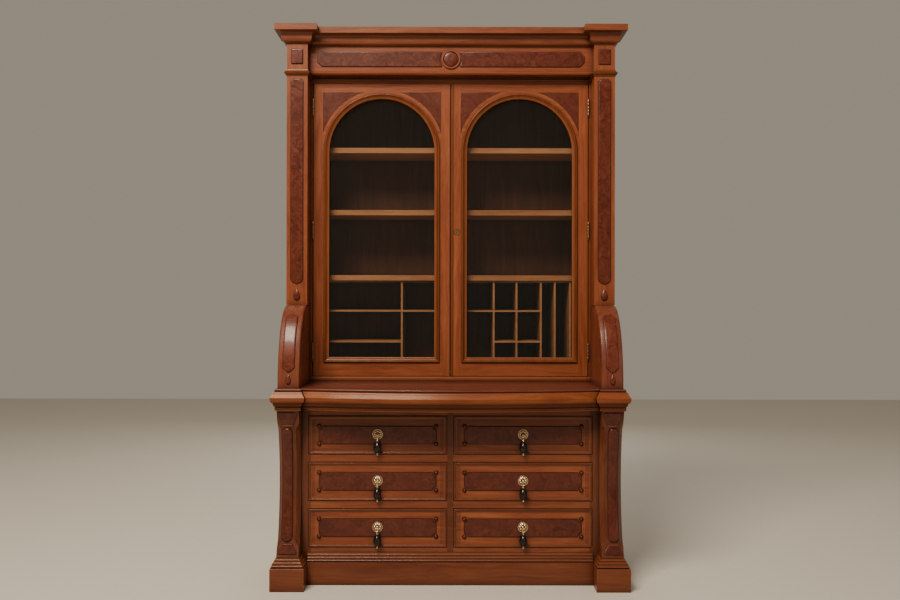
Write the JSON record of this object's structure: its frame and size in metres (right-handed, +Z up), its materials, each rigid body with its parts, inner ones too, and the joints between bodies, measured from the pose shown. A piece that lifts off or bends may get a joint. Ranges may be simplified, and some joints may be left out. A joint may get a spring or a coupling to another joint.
{
  "type": "secretary desk with bookcase",
  "caption": "Walnut secretary desk: drawers with drop pulls below, a bowed pull-out writing slide at the waist and a glazed arched bookcase with pigeonholes above.",
  "frame": {"origin": "on the floor, at the centre of the whole desk's bounding box in plan", "axes": "+X to the right as seen from the front, +Y towards the back (the wall side), +Z up; the doors and drawers open towards -Y"},
  "size_m": [1.55, 0.69, 2.424],
  "materials": {
    "walnut": "rubbed shellac over red-brown walnut",
    "secondary_wood": "bare",
    "glass": "clear",
    "brass": "worn, slightly silvery",
    "ebonised_wood": "black, glossy",
    "leather": "waxed"
  },
  "bodies": {
    "case": {"base_back_panel": "secondary_wood", "base_face_frame": "walnut", "base_floor_board": "secondary_wood", "base_partition": "secondary_wood", "base_post_left": "walnut", "base_post_right": "walnut", "base_side_left": "walnut", "base_side_right": "walnut", "cornice": "walnut", "desk_top": "walnut", "frieze": "walnut", "hinge_left_bottom": "brass", "hinge_left_middle": "brass", "hinge_left_top": "brass", "hinge_right_bottom": "brass", "hinge_right_middle": "brass", "hinge_right_top": "brass", "pigeonholes": "walnut", "plinth_block_left": "walnut", "plinth_block_right": "walnut", "plinth_board": "walnut", "scroll_bracket_left": "walnut", "scroll_bracket_right": "walnut", "shelf_lower": "walnut", "shelf_middle": "walnut", "shelf_top": "walnut", "upper_back_panel": "secondary_wood", "upper_face_frame": "walnut", "upper_post_left": "walnut", "upper_post_right": "walnut", "upper_side_left": "walnut", "upper_side_right": "walnut", "waist_cap_left": "walnut", "waist_cap_right": "walnut"},
    "door_left": {"door_frame_left": "walnut", "door_glass_left": "glass"},
    "door_right": {"door_frame_right": "walnut", "door_glass_right": "glass", "lock_escutcheon": "ebonised_wood"},
    "writing_slide": {"writing_slide_board": "walnut", "writing_slide_front": "walnut", "writing_leather": "leather"},
    "drawer_left_bottom": {"drawer_left_bottom": "walnut", "pull_plate_left_bottom": "brass"},
    "pull_left_bottom": {"pull_drop_left_bottom": "ebonised_wood"},
    "drawer_right_bottom": {"drawer_right_bottom": "walnut", "pull_plate_right_bottom": "brass"},
    "pull_right_bottom": {"pull_drop_right_bottom": "ebonised_wood"},
    "drawer_left_middle": {"drawer_left_middle": "walnut", "pull_plate_left_middle": "brass"},
    "pull_left_middle": {"pull_drop_left_middle": "ebonised_wood"},
    "drawer_right_middle": {"drawer_right_middle": "walnut", "pull_plate_right_middle": "brass"},
    "pull_right_middle": {"pull_drop_right_middle": "ebonised_wood"},
    "drawer_left_top": {"drawer_left_top": "walnut", "pull_plate_left_top": "brass"},
    "pull_left_top": {"pull_drop_left_top": "ebonised_wood"},
    "drawer_right_top": {"drawer_right_top": "walnut", "pull_plate_right_top": "brass"},
    "pull_right_top": {"pull_drop_right_top": "ebonised_wood"}
  },
  "joints": [
    {"name": "door_left_hinge", "type": "hinge", "parent": "case", "child": "door_left", "pos_m": [-0.623, 0.046, 0.869], "axis": [0, 0, -1], "range_deg": [0, 90]},
    {"name": "door_right_hinge", "type": "hinge", "parent": "case", "child": "door_right", "pos_m": [0.623, 0.046, 0.869], "axis": [0, 0, 1], "range_deg": [0, 90]},
    {"name": "writing_slide_run", "type": "slide", "parent": "case", "child": "writing_slide", "axis": [0, -1, 0], "range_m": [0, 0.3]},
    {"name": "drawer_left_bottom_run", "type": "slide", "parent": "case", "child": "drawer_left_bottom", "axis": [0, -1, 0], "range_m": [0, 0.38]},
    {"name": "pull_left_bottom_swing", "type": "hinge", "parent": "drawer_left_bottom", "child": "pull_left_bottom", "pos_m": [-0.31015, -0.204, 0.241], "axis": [-1, 0, 0], "range_deg": [0, 80]},
    {"name": "drawer_right_bottom_run", "type": "slide", "parent": "case", "child": "drawer_right_bottom", "axis": [0, -1, 0], "range_m": [0, 0.38]},
    {"name": "pull_right_bottom_swing", "type": "hinge", "parent": "drawer_right_bottom", "child": "pull_right_bottom", "pos_m": [0.31015, -0.204, 0.241], "axis": [-1, 0, 0], "range_deg": [0, 80]},
    {"name": "drawer_left_middle_run", "type": "slide", "parent": "case", "child": "drawer_left_middle", "axis": [0, -1, 0], "range_m": [0, 0.38]},
    {"name": "pull_left_middle_swing", "type": "hinge", "parent": "drawer_left_middle", "child": "pull_left_middle", "pos_m": [-0.31015, -0.204, 0.439], "axis": [-1, 0, 0], "range_deg": [0, 80]},
    {"name": "drawer_right_middle_run", "type": "slide", "parent": "case", "child": "drawer_right_middle", "axis": [0, -1, 0], "range_m": [0, 0.38]},
    {"name": "pull_right_middle_swing", "type": "hinge", "parent": "drawer_right_middle", "child": "pull_right_middle", "pos_m": [0.31015, -0.204, 0.439], "axis": [-1, 0, 0], "range_deg": [0, 80]},
    {"name": "drawer_left_top_run", "type": "slide", "parent": "case", "child": "drawer_left_top", "axis": [0, -1, 0], "range_m": [0, 0.38]},
    {"name": "pull_left_top_swing", "type": "hinge", "parent": "drawer_left_top", "child": "pull_left_top", "pos_m": [-0.31015, -0.204, 0.637], "axis": [-1, 0, 0], "range_deg": [0, 80]},
    {"name": "drawer_right_top_run", "type": "slide", "parent": "case", "child": "drawer_right_top", "axis": [0, -1, 0], "range_m": [0, 0.38]},
    {"name": "pull_right_top_swing", "type": "hinge", "parent": "drawer_right_top", "child": "pull_right_top", "pos_m": [0.31015, -0.204, 0.637], "axis": [-1, 0, 0], "range_deg": [0, 80]}
  ]
}
